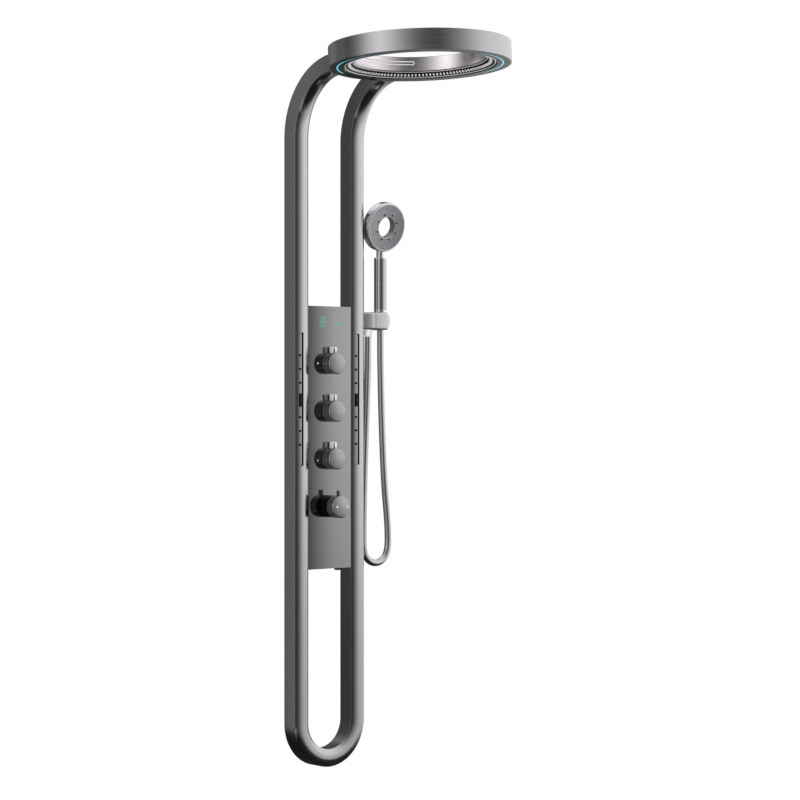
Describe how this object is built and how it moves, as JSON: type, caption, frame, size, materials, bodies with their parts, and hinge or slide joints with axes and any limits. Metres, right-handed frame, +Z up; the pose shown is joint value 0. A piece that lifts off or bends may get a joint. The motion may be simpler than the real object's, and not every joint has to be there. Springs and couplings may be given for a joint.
{
  "type": "shower system",
  "caption": "Wall-hung shower column with two bent rails, a ring-shaped overhead shower, a control panel with turning knobs, aimable body jets and a hand shower on a hose.",
  "frame": {"origin": "on the wall plane, behind the middle of the control panel", "axes": "+X right as the user sees it, +Y into the wall, +Z up"},
  "size_m": [0.3785, 0.4868, 1.4547],
  "materials": {
    "gunmetal": "satin gunmetal coating",
    "brushed_ring": "brushed gunmetal steel",
    "mirror_panel": "polished gunmetal steel",
    "black_gloss": "gloss black",
    "black_plastic": "matt black",
    "light_guide": "lit cyan light guide",
    "pale_silicone": "pale silicone",
    "black_rubber": "black silicone",
    "chrome": "polished",
    "satin_shell": "satin grey plating",
    "spray_face": "grey spray plate",
    "brass": "cast and turned",
    "steel": "folded sheet",
    "pipe_plastic": "cross-linked polyethylene",
    "hose_skin": "smooth silver-grey hose"
  },
  "bodies": {
    "column": {"cold_inlet_nut": "brass", "display_module": "black_gloss", "drain_cap": "black_plastic", "function_1_cartridge": "brass", "function_2_cartridge": "brass", "function_3_cartridge": "brass", "head_light": "light_guide", "head_shell": "brushed_ring", "head_underside": "black_gloss", "holder_base": "gunmetal", "holder_cradle": "gunmetal", "hose": "hose_skin", "hose_outlet": "chrome", "hot_inlet_nut": "brass", "jet_feeds": "brass", "left_arm": "gunmetal", "left_jet_cradle": "black_plastic", "left_rail": "gunmetal", "left_supply_pipe": "pipe_plastic", "lower_bend": "gunmetal", "nozzle_strip": "black_rubber", "panel_box": "steel", "panel_front": "mirror_panel", "rail_bolts": "steel", "right_arm": "gunmetal", "right_jet_cradle": "black_plastic", "right_rail": "gunmetal", "right_supply_pipe": "pipe_plastic", "spray_nozzles": "pale_silicone", "supply_elbows": "brass", "thermostat_cartridge": "brass", "thermostat_collar": "black_plastic", "valve_body": "brass", "valve_posts": "steel", "wall_plate": "steel", "waterfall_spout": "chrome"},
    "function_1_control": {"function_1_knob": "gunmetal", "function_1_lever": "chrome", "function_1_spindle": "brass"},
    "function_2_control": {"function_2_knob": "gunmetal", "function_2_lever": "chrome", "function_2_spindle": "brass"},
    "function_3_control": {"function_3_knob": "gunmetal", "function_3_lever": "chrome", "function_3_spindle": "brass"},
    "thermostat_control": {"thermostat_knob": "gunmetal", "thermostat_spindle": "brass"},
    "thermostat_stop": {"thermostat_button": "black_plastic"},
    "left_jet": {"left_jet_bar": "gunmetal", "left_jet_nozzles": "black_rubber", "left_jet_tab": "black_plastic"},
    "right_jet": {"right_jet_bar": "gunmetal", "right_jet_nozzles": "black_rubber", "right_jet_tab": "black_plastic"},
    "handset": {"handset_handle": "gunmetal", "handset_collar": "chrome", "handset_neck": "chrome", "handset_head": "satin_shell", "handset_face": "spray_face", "hose_nut": "chrome"}
  },
  "joints": [
    {"name": "function_1_turn", "type": "hinge", "parent": "column", "child": "function_1_control", "pos_m": [0, -0.034, 0.1512], "axis": [0, 1, 0], "range_deg": [0, 90]},
    {"name": "function_2_turn", "type": "hinge", "parent": "column", "child": "function_2_control", "pos_m": [0, -0.034, 0.0539], "axis": [0, 1, 0], "range_deg": [0, 90]},
    {"name": "function_3_turn", "type": "hinge", "parent": "column", "child": "function_3_control", "pos_m": [0, -0.034, -0.0434], "axis": [0, 1, 0], "range_deg": [0, 90]},
    {"name": "thermostat_turn", "type": "hinge", "parent": "column", "child": "thermostat_control", "pos_m": [0, -0.034, -0.1407], "axis": [0, 1, 0], "range_deg": [-120, 100]},
    {"name": "thermostat_stop_press", "type": "slide", "parent": "thermostat_control", "child": "thermostat_stop", "axis": [0, 0, -1], "range_m": [0, 0.0025], "stiffness_N_per_m": 300},
    {"name": "left_jet_aim", "type": "hinge", "parent": "column", "child": "left_jet", "pos_m": [-0.083, -0.0285, 0.0755], "axis": [0, 0, 1], "range_deg": [0, 12]},
    {"name": "right_jet_aim", "type": "hinge", "parent": "column", "child": "right_jet", "pos_m": [0.067, -0.0285, 0.0755], "axis": [0, 0, 1], "range_deg": [0, 12]},
    {"name": "handset_lift", "type": "slide", "parent": "column", "child": "handset", "axis": [0, 0, 1], "range_m": [0, 0.06]}
  ]
}
